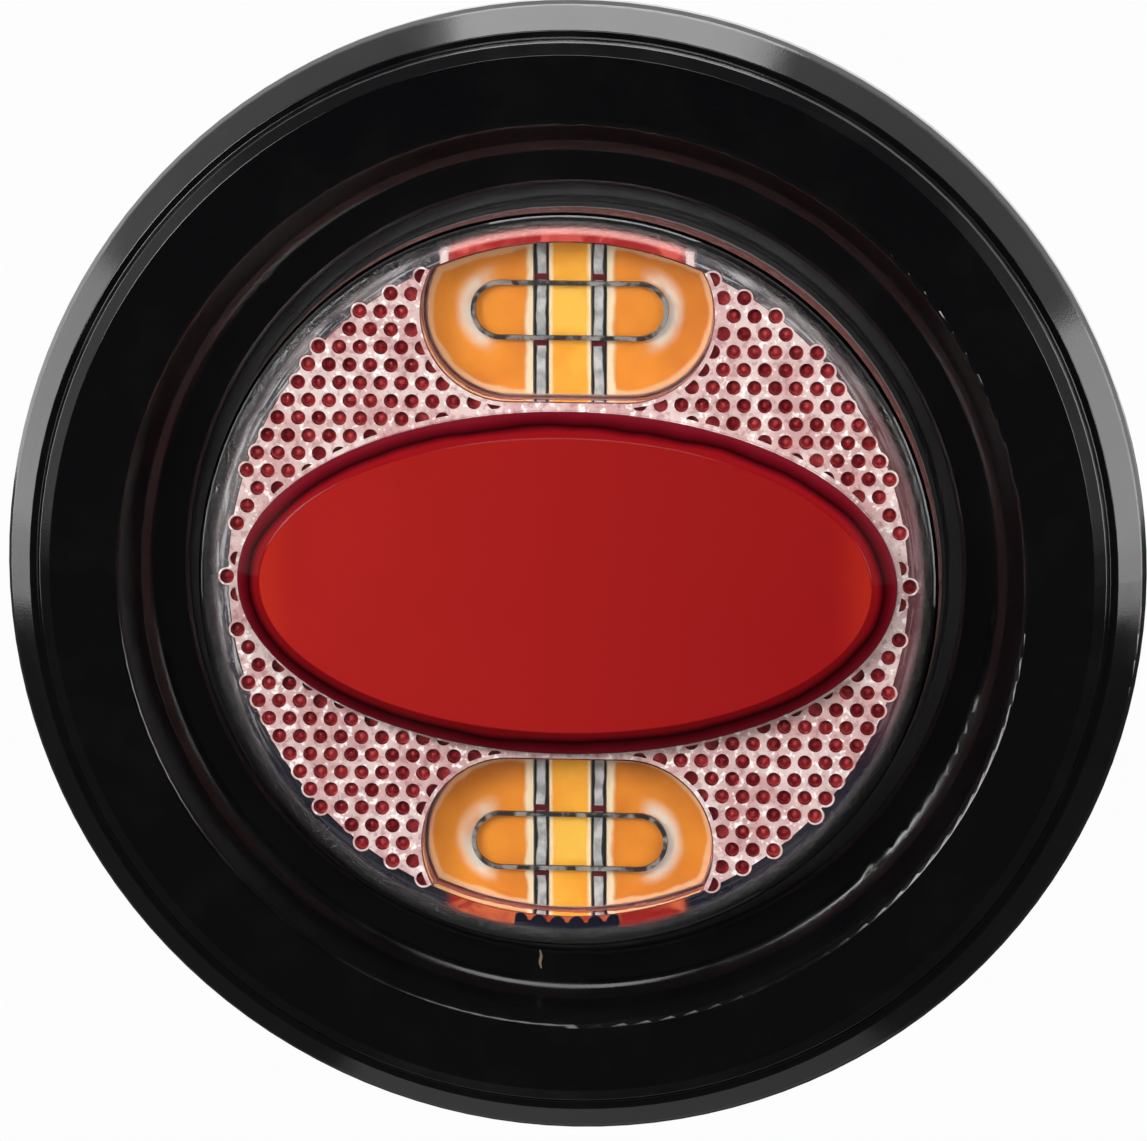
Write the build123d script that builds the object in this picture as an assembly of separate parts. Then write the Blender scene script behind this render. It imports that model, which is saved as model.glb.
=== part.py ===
from build123d import *
import math
import os

# Round trailer light in a rubber grommet. Millimetres, +Z up, front of the lamp towards -Y.
# The origin is the centre of the panel hole, in the plane of the panel's outer face.
# A height is measured forward (-Y) from that plane, so a negative height is behind it.

# Fits
FIT = 0.05                  # between pieces that are seated, welded or bonded together
TURN_CLEARANCE = 0.3        # around the lamp flange, so that the lamp can turn in the rubber
TURN_END_PLAY = 0.15        # in front of the lamp flange and behind it
BODY_CLEARANCE = 0.4        # between the housing can and the rubber sleeve
NECK_CLEARANCE = 0.1        # between the grommet's neck and the panel hole

# Lamp: flange and clear lens
LAMP_DIAMETER = 63.5
LAMP_FLANGE_THICKNESS = 3.0
LAMP_FLANGE_FRONT = 0.3     # height of the flange's front face
LENS_LEDGE = 3.85           # width of flange left outside the lens
LENS_HEIGHT = 7.5           # lens face in front of the flange
LENS_DRAFT = 0.4
LENS_WALL = 1.05
LENS_SKIN = 1.2
LENS_EDGE_RADIUS = 1.0
LENS_SEAT_DEPTH = 1.5       # how far the lens skirt stands in the flange

# Housing and its plug receptacle
COLLAR_WALL = 1.9
COLLAR_RISE = 0.3           # board seat in front of the flange
CAN_WALL = 2.2
CAN_FLOOR = 2.2
CAN_DEPTH = 9.0             # inner face of the floor, behind the panel's outer face
CAN_EDGE_RADIUS = 1.2
RECEPTACLE_WIDTH = 27.0
RECEPTACLE_HEIGHT = 15.0
RECEPTACLE_CORNER = 5.0
RECEPTACLE_DEPTH = 9.0
RECEPTACLE_WALL = 2.4
BOSS_EDGE_RADIUS = 0.6
POTTING_DEPTH = 3.5

# Contact pins
PIN_DIAMETER = 4.57
PIN_SPACING = 11.0
PIN_LENGTH = 7.5
PIN_TIP_CHAMFER = 0.9
PIN_SEAT_DIAMETER = 5.8     # where the pin passes through the can's floor
PIN_HEAD_DIAMETER = 6.8
PIN_HEAD_THICKNESS = 1.5
TAIL_DIAMETER = 1.6
TAIL_STICK_OUT = 0.8
SOLDER_DIAMETER = 3.4
SOLDER_HEIGHT = 1.0

# Circuit board and what is soldered to it
BOARD_THICKNESS = 1.6
BOARD_EDGE_GAP = 0.7        # board edge to lens skirt
RED_LED = (3.5, 2.8, 0.8)
RED_LED_COLUMNS = 4
RED_LED_END_MARGIN = 9.5    # outermost lights to the ends of the oval's hollow
RED_LED_SOLDER_GAP = 0.6    # each row to the solder joints between the rows
LED_WINDOW_DIAMETER = 2.4
LED_WINDOW_THICKNESS = 0.15
RESISTOR = (3.2, 1.6, 0.6)
RESISTOR_COUNT = 6
RESISTOR_PITCH = 5.0
DIODE = (4.5, 2.6, 2.2)
DIODE_COUNT = 4
DIODE_PITCH = 6.5
CHIP = (6.5, 6.1, 2.3)
CAPACITOR_DIAMETER = 6.3
CAPACITOR_HEIGHT = 5.2
PART_ROW_OFFSET = 10.0      # rows of small parts above and below the pins
LARGE_PART_OFFSET = 14.0    # chip and capacitor to the left and right of the pins

# Red centre lens
RED_END_MARGIN = 1.7        # between the ends of the oval and the trim ring
RED_RISE = 1.4              # oval face in front of the clear face
RED_BEVEL = 1.75
RED_STRAIGHT = 0.1          # straight side left above the clear face
RED_SKIN = 1.3
RED_WALL = 3.0
RED_BASE_GAP = 2.0          # open space between the board and the oval's side wall
RED_EDGE_RADIUS = 0.25
DIFFUSER_THICKNESS = 0.8

# Pill windows above and below the oval
PILL_WIDTH = 21.8
PILL_HEIGHT = 13.2
PILL_RIM_DISTANCE = 6.35    # pill centre to the trim ring's outside
PILL_GAP = 0.6              # between a pill and the oval
PILL_RIM_WALL = 1.0         # reflex block left outside a pill
CARRIER_INSET = 0.15
CARRIER_THICKNESS = 0.8
PHOSPHOR_INSET = 0.3
PHOSPHOR_THICKNESS = 0.4
CENTRE_PHOSPHOR_WIDTH = 3.1
CONDUCTOR_WIDTH = 1.0
CONDUCTOR_THICKNESS = 0.5
CONDUCTOR_GAP = 0.1
LIGHT_RING_WIDTH = 14.7
LIGHT_RING_HEIGHT = 4.4
LIGHT_RING_LINE = 0.32
LIGHT_RING_THICKNESS = 0.4
LIGHT_RING_GAP = 0.1        # light ring in front of the conductors

# Reflex field
LATTICE_THICKNESS = 0.6
CELL_PITCH = 1.54
CELL_DIAMETER = 1.08
CELL_WEB = 0.15             # web left round the outermost cells
CELL_BORDER = 0.3           # web left along the oval and the pills
LEAST_CELL_SHARE = 0.2      # a cell cut smaller than this share of a whole one is left out
SCALLOP_DEPTH = 0.9         # honeycomb's rim between its outermost cells
TRIM_WIDTH = 0.15           # trim ring outside the outermost cells

# Grommet
RUBBER_WALL = 6.35          # lamp flange to panel hole
LIP_GAP = 1.1               # lens to rubber lip
LIP_THICKNESS = 1.3
FLANGE_OVERLAP = 4.6        # grommet flange beyond the panel hole
FLANGE_HEIGHT = 5.5
BOWL_WIDTH = 4.9            # lip edge to the flange's flat face
BOWL_FLOOR_WIDTH = 3.2
BOWL_CORNER_RADIUS = 1.6
BOWL_EDGE_RADIUS = 0.5
OUTER_EDGE_RADIUS = 0.8
PANEL_GROOVE = 3.2
BEAD_OVERLAP = 1.7          # rear bead beyond the panel hole
BEAD_THICKNESS = 1.8
SLEEVE_DEPTH = 12.0
SLEEVE_END_WALL = 5.5

# Radii and heights that follow from the sizes above
LAMP_RADIUS = LAMP_DIAMETER / 2
LENS_RADIUS = LAMP_RADIUS - LENS_LEDGE
LENS_BORE = LENS_RADIUS - LENS_WALL
LENS_FRONT_RADIUS = LENS_RADIUS - LENS_DRAFT
LENS_FACE = LAMP_FLANGE_FRONT + LENS_HEIGHT
LENS_UNDERSIDE = LENS_FACE - LENS_SKIN
LAMP_FLANGE_BACK = LAMP_FLANGE_FRONT - LAMP_FLANGE_THICKNESS
SKIRT_END = LAMP_FLANGE_FRONT - LENS_SEAT_DEPTH
COLLAR_RADIUS = LENS_BORE - FIT
CAVITY_RADIUS = COLLAR_RADIUS - COLLAR_WALL
CAN_RADIUS = CAVITY_RADIUS + CAN_WALL
CAN_END = -CAN_DEPTH - CAN_FLOOR
BOSS_END = CAN_END - RECEPTACLE_DEPTH
BOARD_BACK = LAMP_FLANGE_FRONT + COLLAR_RISE
BOARD_FRONT = BOARD_BACK + BOARD_THICKNESS
BOARD_RADIUS = LENS_BORE - BOARD_EDGE_GAP
TRIM_RADIUS = LENS_FRONT_RADIUS - LENS_WALL - 2 * FIT
FIELD_RADIUS = TRIM_RADIUS - TRIM_WIDTH
FIELD_FRONT = LENS_UNDERSIDE - FIT
LATTICE_BACK = FIELD_FRONT - LATTICE_THICKNESS
CARRIER_FRONT = BOARD_FRONT + CARRIER_THICKNESS
PHOSPHOR_FRONT = CARRIER_FRONT + PHOSPHOR_THICKNESS
LIGHT_RING_BACK = CARRIER_FRONT + CONDUCTOR_THICKNESS + LIGHT_RING_GAP
LIGHT_RING_FRONT = LIGHT_RING_BACK + LIGHT_RING_THICKNESS
OPTIC_BACK = LIGHT_RING_FRONT + FIT
PILL_CENTRE = TRIM_RADIUS - PILL_RIM_DISTANCE
PILL_LIMIT = TRIM_RADIUS - PILL_RIM_WALL
RED_WIDTH = 2 * (FIELD_RADIUS - RED_END_MARGIN)
RED_HEIGHT = 2 * (PILL_CENTRE - PILL_HEIGHT / 2 - PILL_GAP)
RED_FACE = LENS_FACE + RED_RISE
RED_BACK = BOARD_FRONT + RED_BASE_GAP
RED_CAVITY_TOP = RED_FACE - RED_SKIN
HOLE_RADIUS = LAMP_RADIUS + RUBBER_WALL
FLANGE_RADIUS = HOLE_RADIUS + FLANGE_OVERLAP
LIP_RADIUS = LENS_RADIUS + LIP_GAP
LIP_BACK = LAMP_FLANGE_FRONT + TURN_END_PLAY
LIP_FRONT = LIP_BACK + LIP_THICKNESS


def turned(*outline):
    """Turn an outline of (radius, height, corner radius) points about the lamp's axis."""
    points = [(radius, -height) for radius, height, corner in outline]
    corners = [corner for radius, height, corner in outline]
    return revolve(make_face(FilletPolyline(*points, radius=corners, close=True)), Axis.Y)


def plate(shape, back, front):
    """Push a shape drawn in the front view (x across, y up) from one height to another."""
    return extrude(Plane.XZ.offset(back) * shape, amount=front - back)


def oval(inset):
    """The red lens's oval, made smaller all round by inset."""
    return Ellipse(RED_WIDTH / 2 - inset, RED_HEIGHT / 2 - inset)


def pill(side, inset):
    """The pill window above (side 1) or below (side -1) the oval, cut off by the rim."""
    whole = Pos(0, side * PILL_CENTRE) * SlotOverall(PILL_WIDTH - 2 * inset, PILL_HEIGHT - 2 * inset)
    return whole & Circle(PILL_LIMIT - inset)


def receptacle(grow):
    """The plug receptacle's outline, made larger all round by grow."""
    width = RECEPTACLE_WIDTH + 2 * grow
    height = RECEPTACLE_HEIGHT + 2 * grow
    return RectangleRounded(width, height, RECEPTACLE_CORNER + grow)


def at_pins(diameter):
    """A circle round each of the two contact pins in the front view."""
    circle = Circle(diameter / 2)
    return Sketch() + [Pos(side * PIN_SPACING / 2, 0) * circle for side in (-1, 1)]


def make_grommet():
    """Rubber ring: flange in front of the panel, groove for its edge, sleeve behind it."""
    rim = FLANGE_RADIUS
    lamp_groove = LAMP_RADIUS + TURN_CLEARANCE
    sleeve_bore = CAN_RADIUS + BODY_CLEARANCE
    neck = HOLE_RADIUS - NECK_CLEARANCE
    bead = HOLE_RADIUS + BEAD_OVERLAP
    bead_back = -PANEL_GROOVE - BEAD_THICKNESS
    return turned(
        (LIP_RADIUS, LIP_BACK, 0.3),
        (LIP_RADIUS, LIP_FRONT, 0.4),
        (LIP_RADIUS + BOWL_FLOOR_WIDTH, LIP_FRONT + 0.15, BOWL_CORNER_RADIUS),
        (LIP_RADIUS + BOWL_WIDTH, FLANGE_HEIGHT, BOWL_EDGE_RADIUS),
        (rim - 3.7, FLANGE_HEIGHT, 0.15),
        (rim - 2.85, FLANGE_HEIGHT - 0.6, 0.15),
        (rim - 2.55, FLANGE_HEIGHT - 1.25, 0.12),
        (rim - 2.0, FLANGE_HEIGHT - 1.3, 0.12),
        (rim - 0.3, FLANGE_HEIGHT - 3.2, OUTER_EDGE_RADIUS),
        (rim, FLANGE_HEIGHT - 3.9, 0.4),
        (rim, 0, 0.4),
        (neck, 0, 0),
        (neck, -PANEL_GROOVE, 0),
        (bead, -PANEL_GROOVE, 0.5),
        (bead, bead_back, 0.5),
        (sleeve_bore + SLEEVE_END_WALL, -SLEEVE_DEPTH, 0.8),
        (sleeve_bore, -SLEEVE_DEPTH, 0.5),
        (sleeve_bore, LAMP_FLANGE_BACK - TURN_END_PLAY, 0.3),
        (lamp_groove, LAMP_FLANGE_BACK - TURN_END_PLAY, 0.3),
        (lamp_groove, LIP_BACK, 0.3),
    )


def make_housing():
    """Black can with the lamp flange, a board collar inside it and a plug boss behind it."""
    shell = turned(
        (LENS_RADIUS + FIT, LAMP_FLANGE_FRONT, 0.2),
        (LAMP_RADIUS, LAMP_FLANGE_FRONT, 0.5),
        (LAMP_RADIUS, LAMP_FLANGE_BACK, 0.5),
        (CAN_RADIUS, LAMP_FLANGE_BACK, 0.3),
        (CAN_RADIUS, CAN_END, CAN_EDGE_RADIUS),
        (0, CAN_END, 0),
        (0, -CAN_DEPTH, 0),
        (CAVITY_RADIUS, -CAN_DEPTH, 0),
        (CAVITY_RADIUS, BOARD_BACK, 0),
        (COLLAR_RADIUS, BOARD_BACK, 0),
        (COLLAR_RADIUS, SKIRT_END - FIT, 0),
        (LENS_RADIUS + FIT, SKIRT_END - FIT, 0),
    )
    boss = plate(receptacle(RECEPTACLE_WALL), BOSS_END, CAN_END + CAN_FLOOR / 2)
    boss = fillet(boss.faces().sort_by(Axis.Y)[-1].edges(), BOSS_EDGE_RADIUS)
    recess = plate(receptacle(0), BOSS_END - 1, CAN_END)
    pin_holes = plate(at_pins(PIN_SEAT_DIAMETER + 2 * FIT), CAN_END - 1, 1 - CAN_DEPTH)
    return shell + boss - recess - pin_holes


def make_potting():
    """Sealing compound poured over the pin heads in the bottom of the can."""
    level = POTTING_DEPTH - CAN_DEPTH
    puddle = plate(Circle(CAVITY_RADIUS - FIT), -CAN_DEPTH, level)
    heads = at_pins(PIN_HEAD_DIAMETER + 2 * FIT)
    tails = at_pins(TAIL_DIAMETER + 2 * FIT)
    head_top = PIN_HEAD_THICKNESS + FIT - CAN_DEPTH
    return puddle - plate(heads, -CAN_DEPTH, head_top) - plate(tails, -CAN_DEPTH, level)


def make_pin(side):
    """Turned contact pin with a seat in the can's floor, a head on it and a tail to the board."""
    pin = PIN_DIAMETER / 2
    seat = PIN_SEAT_DIAMETER / 2
    head = PIN_HEAD_DIAMETER / 2
    tail = TAIL_DIAMETER / 2
    tip = CAN_END - PIN_LENGTH
    shape = turned(
        (0, tip, 0),
        (pin - PIN_TIP_CHAMFER, tip, 0.2),
        (pin, tip + PIN_TIP_CHAMFER, 0.2),
        (pin, CAN_END, 0),
        (seat, CAN_END, 0),
        (seat, -CAN_DEPTH, 0),
        (head, -CAN_DEPTH, 0),
        (head, PIN_HEAD_THICKNESS - CAN_DEPTH, 0),
        (tail, PIN_HEAD_THICKNESS - CAN_DEPTH, 0),
        (tail, BOARD_FRONT + TAIL_STICK_OUT, 0),
        (0, BOARD_FRONT + TAIL_STICK_OUT, 0),
    )
    return Pos(side * PIN_SPACING / 2, 0, 0) * shape


def make_solder_joints():
    """Cones of solder round the pin tails on the front of the board."""
    bore = TAIL_DIAMETER / 2 + FIT
    cone = turned(
        (bore, BOARD_FRONT, 0),
        (SOLDER_DIAMETER / 2, BOARD_FRONT, 0),
        (bore + 0.2, BOARD_FRONT + SOLDER_HEIGHT, 0),
        (bore, BOARD_FRONT + SOLDER_HEIGHT, 0),
    )
    return [Pos(side * PIN_SPACING / 2, 0, 0) * cone for side in (-1, 1)]


def make_board():
    """Round circuit board on the housing's collar."""
    holes = at_pins(TAIL_DIAMETER + 4 * FIT)
    return plate(Circle(BOARD_RADIUS) - holes, BOARD_BACK, BOARD_FRONT)


def red_led_places():
    """Centres of the red light packages, in two rows behind the oval."""
    length = RED_WIDTH - 2 * (RED_WALL + RED_LED_END_MARGIN)
    row_spacing = SOLDER_DIAMETER + 2 * RED_LED_SOLDER_GAP + RED_LED[1]
    return GridLocations(length / (RED_LED_COLUMNS - 1), row_spacing, RED_LED_COLUMNS, 2)


def make_red_leds():
    """Packages of the red lights."""
    width, height, thickness = RED_LED
    package = Rectangle(width, height)
    return [plate(place * package, BOARD_FRONT, BOARD_FRONT + thickness) for place in red_led_places()]


def make_red_led_windows():
    """Round emitting windows on the red packages."""
    back = BOARD_FRONT + RED_LED[2]
    window = Circle(LED_WINDOW_DIAMETER / 2)
    return [plate(place * window, back, back + LED_WINDOW_THICKNESS) for place in red_led_places()]


def back_row(size, count, pitch, offset):
    """A row of small blocks on the back of the board, offset up from the lamp's axis."""
    width, height, thickness = size
    places = Pos(0, offset) * GridLocations(pitch, 0, count, 1)
    block = Rectangle(width, height)
    return [plate(place * block, BOARD_BACK - thickness, BOARD_BACK) for place in places]


def make_driver_chip():
    """Current regulator on the back of the board."""
    width, height, thickness = CHIP
    outline = Pos(-LARGE_PART_OFFSET, 0) * Rectangle(width, height)
    return plate(outline, BOARD_BACK - thickness, BOARD_BACK)


def make_capacitor():
    """Can of the smoothing capacitor."""
    outline = Pos(LARGE_PART_OFFSET, 0) * Circle(CAPACITOR_DIAMETER / 2)
    can = plate(outline, BOARD_BACK - CAPACITOR_HEIGHT, BOARD_BACK)
    return fillet(can.faces().sort_by(Axis.Y)[-1].edges(), 0.5)


def make_outer_lens():
    """Clear cup with an oval opening in its face for the red lens."""
    cup = turned(
        (0, LENS_FACE, 0),
        (LENS_FRONT_RADIUS, LENS_FACE, LENS_EDGE_RADIUS),
        (LENS_RADIUS, LIP_FRONT, 0),
        (LENS_RADIUS, SKIRT_END, 0),
        (LENS_BORE, SKIRT_END, 0),
        (LENS_BORE, LIP_FRONT, 0),
        (LENS_FRONT_RADIUS - LENS_WALL, LENS_UNDERSIDE, 0),
        (0, LENS_UNDERSIDE, 0),
    )
    return cup - plate(oval(-FIT), LENS_UNDERSIDE - 1, LENS_FACE + 1)


def make_red_lens():
    """Raised red oval cap with a bevelled side, hollow behind."""
    shoulder = LENS_FACE + RED_STRAIGHT
    base = plate(oval(0), RED_BACK, shoulder)
    low = Plane.XZ.offset(shoulder) * oval(0)
    high = Plane.XZ.offset(RED_FACE) * oval(RED_BEVEL)
    bevel = loft([low, high])
    bevel = fillet(bevel.faces().sort_by(Axis.Y)[0].edges(), RED_EDGE_RADIUS)
    return base + bevel - plate(oval(RED_WALL), RED_BACK - 1, RED_CAVITY_TOP)


def make_diffuser():
    """White sheet under the red lens's skin that evens out its light."""
    front = RED_CAVITY_TOP - FIT
    return plate(oval(RED_WALL + FIT), front - DIFFUSER_THICKNESS, front)


def window_openings(grow):
    """The openings for the oval and both pills, each larger all round by grow."""
    return oval(-grow) + pill(1, -grow) + pill(-1, -grow)


def in_pill(x, y):
    """Whether a place in the front view lies in a whole pill window."""
    past_middle = max(abs(x) - (PILL_WIDTH - PILL_HEIGHT) / 2, 0)
    return math.hypot(past_middle, abs(y) - PILL_CENTRE) < PILL_HEIGHT / 2


def at_rim(x, y):
    """Whether a cell at this place reaches past the honeycomb's disc."""
    return math.hypot(x, y) + CELL_DIAMETER / 2 + CELL_WEB > FIELD_RADIUS - SCALLOP_DEPTH


def cell_places():
    """Centres of the honeycomb's cells, in staggered rows that fill its disc."""
    row_spacing = CELL_PITCH * math.sqrt(3) / 2
    rows = math.ceil(FIELD_RADIUS / row_spacing)
    columns = math.ceil(FIELD_RADIUS / CELL_PITCH) + 1
    reach = FIELD_RADIUS - CELL_DIAMETER / 2 - CELL_WEB
    places = []
    for row in range(-rows, rows + 1):
        for column in range(-columns, columns + 1):
            x = (column + (row + 1) % 2 / 2) * CELL_PITCH
            y = row * row_spacing
            if math.hypot(x, y) < reach and not (at_rim(x, y) and in_pill(x, y)):
                places.append((x, y))
    return places


def honeycomb_outline(grow):
    """A disc whose rim bulges round the outermost cells, larger all round by grow."""
    disc = Circle(FIELD_RADIUS - SCALLOP_DEPTH + grow)
    bulge = Circle(CELL_DIAMETER / 2 + CELL_WEB + grow)
    return disc + [Pos(*place) * bulge for place in cell_places() if at_rim(*place)]


def cell_shapes(field):
    """The cells that lie in a field, with those at its edge cut off by it."""
    whole = Circle(CELL_DIAMETER / 2)
    shapes = []
    for place in cell_places():
        cut = (Pos(*place) * whole) & field
        shapes += [face for face in cut.faces() if face.area > LEAST_CELL_SHARE * whole.area]
    return shapes


def make_reflex_lattice():
    """Clear honeycomb sheet under the lens's face."""
    sheet = (honeycomb_outline(0) - window_openings(FIT)).faces().sort_by(SortBy.AREA)[-1]
    cells = cell_shapes(Circle(FIELD_RADIUS) - window_openings(FIT + CELL_BORDER))
    holes = [cell.outer_wire() for cell in cells]
    return plate(sheet.make_holes(holes), LATTICE_BACK, FIELD_FRONT)


def make_reflex_block():
    """Red block behind the honeycomb, with pockets for the oval and the pills."""
    return plate(Circle(TRIM_RADIUS) - window_openings(FIT), BOARD_FRONT, LATTICE_BACK)


def make_trim_ring():
    """Dark ring that fills the space between the honeycomb's bulging rim and the lens."""
    ring = Circle(TRIM_RADIUS) - honeycomb_outline(FIT) - window_openings(FIT)
    return plate(ring, LATTICE_BACK, FIELD_FRONT)


def make_optic(side):
    """Thick clear pill under the lens's face."""
    return plate(pill(side, FIT), OPTIC_BACK, FIELD_FRONT)


def make_light_ring(side):
    """Thin stadium-shaped ring behind a pill optic."""
    inside = (LIGHT_RING_WIDTH - 2 * LIGHT_RING_LINE, LIGHT_RING_HEIGHT - 2 * LIGHT_RING_LINE)
    ring = SlotOverall(LIGHT_RING_WIDTH, LIGHT_RING_HEIGHT) - SlotOverall(*inside)
    return plate(Pos(0, side * PILL_CENTRE) * ring, LIGHT_RING_BACK, LIGHT_RING_FRONT)


def make_carrier(side):
    """White base of a pill's light source, on the board."""
    return plate(pill(side, CARRIER_INSET), BOARD_FRONT, CARRIER_FRONT)


def upright_bands(side, inner, outer):
    """The stretches of a pill between two distances left and right of its centre line."""
    field = pill(side, PHOSPHOR_INSET)
    middle = (inner + outer) / 2
    band = Rectangle(outer - inner, PILL_HEIGHT)
    return [field & Pos(turn * middle, side * PILL_CENTRE) * band for turn in (-1, 1)]


def make_centre_phosphor(side):
    """Upright glowing strip in the middle of a pill."""
    strip = Pos(0, side * PILL_CENTRE) * Rectangle(CENTRE_PHOSPHOR_WIDTH, PILL_HEIGHT)
    return plate(pill(side, PHOSPHOR_INSET) & strip, CARRIER_FRONT, PHOSPHOR_FRONT)


def make_conductors(side):
    """Two upright metal bars beside a pill's centre strip."""
    inner = CENTRE_PHOSPHOR_WIDTH / 2 + CONDUCTOR_GAP
    bars = upright_bands(side, inner, inner + CONDUCTOR_WIDTH)
    return [plate(bar, CARRIER_FRONT, CARRIER_FRONT + CONDUCTOR_THICKNESS) for bar in bars]


def make_side_phosphors(side):
    """Large glowing pads outside a pill's two bars."""
    inner = CENTRE_PHOSPHOR_WIDTH / 2 + CONDUCTOR_WIDTH + 2 * CONDUCTOR_GAP
    pads = upright_bands(side, inner, PILL_WIDTH / 2)
    return [plate(pad, CARRIER_FRONT, PHOSPHOR_FRONT) for pad in pads]


def make_parts():
    """Every piece by its name, as one solid or a list of like solids."""
    parts = {
        "grommet": make_grommet(),
        "housing": make_housing(),
        "outer_lens": make_outer_lens(),
        "red_lens": make_red_lens(),
        "centre_diffuser": make_diffuser(),
        "reflex_lattice": make_reflex_lattice(),
        "reflex_block": make_reflex_block(),
        "trim_ring": make_trim_ring(),
        "circuit_board": make_board(),
        "red_leds": make_red_leds(),
        "red_led_windows": make_red_led_windows(),
        "resistors": back_row(RESISTOR, RESISTOR_COUNT, RESISTOR_PITCH, -PART_ROW_OFFSET),
        "rectifier_diodes": back_row(DIODE, DIODE_COUNT, DIODE_PITCH, PART_ROW_OFFSET),
        "driver_chip": make_driver_chip(),
        "capacitor": make_capacitor(),
        "potting_compound": make_potting(),
        "solder_joints": make_solder_joints(),
        "left_contact_pin": make_pin(-1),
        "right_contact_pin": make_pin(1),
    }
    for name, side in (("upper", 1), ("lower", -1)):
        parts[name + "_optic"] = make_optic(side)
        parts[name + "_light_ring"] = make_light_ring(side)
        parts[name + "_centre_phosphor"] = make_centre_phosphor(side)
        parts[name + "_side_phosphors"] = make_side_phosphors(side)
        parts[name + "_conductors"] = make_conductors(side)
        parts[name + "_led_carrier"] = make_carrier(side)
    return parts


os.makedirs("parts", exist_ok=True)
for node, shape in make_parts().items():
    group = shape if isinstance(shape, list) else shape.solids()
    export_step(Compound(children=[piece.solid() for piece in group]), f"parts/{node}.step")
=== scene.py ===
import math

import bpy
from mathutils import Matrix, Vector


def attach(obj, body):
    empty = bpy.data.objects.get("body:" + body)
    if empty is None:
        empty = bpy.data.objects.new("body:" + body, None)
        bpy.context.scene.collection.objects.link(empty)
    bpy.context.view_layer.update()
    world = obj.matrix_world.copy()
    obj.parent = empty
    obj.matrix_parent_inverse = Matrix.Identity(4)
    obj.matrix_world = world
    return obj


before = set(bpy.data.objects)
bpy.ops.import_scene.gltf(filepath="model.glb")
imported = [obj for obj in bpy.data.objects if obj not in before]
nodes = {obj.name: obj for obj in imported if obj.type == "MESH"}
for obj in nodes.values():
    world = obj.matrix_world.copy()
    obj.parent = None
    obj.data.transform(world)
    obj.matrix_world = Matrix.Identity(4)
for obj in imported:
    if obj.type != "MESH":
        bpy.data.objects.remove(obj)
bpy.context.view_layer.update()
bpy.ops.object.select_all(action="DESELECT")


# Rubber grommet. One soft black rubber moulding with a shiny skin from the mould, faint turning
# marks from the tool and a little dust. It holds the lamp by its flange and the panel by its groove.

MM = 0.001


def new_finish(name):
    """A new material, its node tree and its Principled shader."""
    finish = bpy.data.materials.new(name)
    finish.use_nodes = True
    return finish, finish.node_tree, finish.node_tree.nodes["Principled BSDF"]


def add(tree, kind, inputs=None, **settings):
    """A new node. An input is given a value, or is linked where it is given an output."""
    node = tree.nodes.new("ShaderNode" + kind)
    for name, value in settings.items():
        setattr(node, name, value)
    for name, value in (inputs or {}).items():
        if isinstance(value, bpy.types.NodeSocket):
            tree.links.new(value, node.inputs[name])
        else:
            node.inputs[name].default_value = value
    return node


def maths(tree, operation, first, second=0.0):
    """One sum on numbers, which are values or outputs."""
    return add(tree, "Math", {0: first, 1: second}, operation=operation).outputs[0]


def ramp(tree, value, low, high, bottom=0.0, top=1.0):
    """A smooth step of value from low to high, put out from bottom to top."""
    limits = {"Value": value, "From Min": low, "From Max": high, "To Min": bottom, "To Max": top}
    return add(tree, "MapRange", limits, interpolation_type="SMOOTHSTEP").outputs["Result"]


def hypotenuse(tree, first, second):
    """Length of the diagonal of two numbers."""
    squares = [maths(tree, "MULTIPLY", side, side) for side in (first, second)]
    return maths(tree, "SQRT", maths(tree, "ADD", *squares))


def mix_colours(tree, mask, under, over):
    """The colour under, covered by the colour over where the mask is 1."""
    under = under if isinstance(under, bpy.types.NodeSocket) else (*under, 1)
    over = over if isinstance(over, bpy.types.NodeSocket) else (*over, 1)
    return add(tree, "Mix", {0: mask, 6: under, 7: over}, data_type="RGBA").outputs[2]


def object_place(tree):
    return add(tree, "TexCoord").outputs["Object"]


def noise(tree, place, scale, detail=3.0, distortion=0.0):
    settings = {"Vector": place, "Scale": scale, "Detail": detail, "Distortion": distortion}
    return add(tree, "TexNoise", settings).outputs["Fac"]


def new_effect(name, inputs, outputs):
    """A node group with number or vector inputs and number outputs."""
    effect = bpy.data.node_groups.new(name, "ShaderNodeTree")
    for socket, value in inputs.items():
        kind = "NodeSocketVector" if value is None else "NodeSocketFloat"
        made = effect.interface.new_socket(socket, in_out="INPUT", socket_type=kind)
        if value is not None:
            made.default_value = value
    for socket in outputs:
        effect.interface.new_socket(socket, in_out="OUTPUT", socket_type="NodeSocketFloat")
    return effect, effect.nodes.new("NodeGroupInput").outputs, effect.nodes.new("NodeGroupOutput").inputs


def place_effect(tree, effect, **inputs):
    node = tree.nodes.new("ShaderNodeGroup")
    node.node_tree = effect
    tree.links.new(object_place(tree), node.inputs["Place"])
    for name, value in inputs.items():
        node.inputs[name].default_value = value
    return node.outputs


def wear(finish, *names):
    """Give a finish to CAD nodes."""
    for name in names:
        for material_slot in nodes[name].material_slots:
            material_slot.material = finish


moulded_grain, taken, given = new_effect(
    "moulded grain", {"Place": None, "Fine": 9000.0, "Coarse": 500.0}, ["Height", "Blotches"]
)
fine = add(moulded_grain, "TexNoise", {"Vector": taken["Place"], "Scale": taken["Fine"], "Detail": 2.0})
coarse = add(moulded_grain, "TexNoise", {"Vector": taken["Place"], "Scale": taken["Coarse"], "Detail": 4.0})
height = maths(moulded_grain, "MULTIPLY_ADD", coarse.outputs["Fac"], 0.6)
moulded_grain.links.new(fine.outputs["Fac"], height.node.inputs[2])
moulded_grain.links.new(height, given["Height"])
moulded_grain.links.new(coarse.outputs["Fac"], given["Blotches"])

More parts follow.
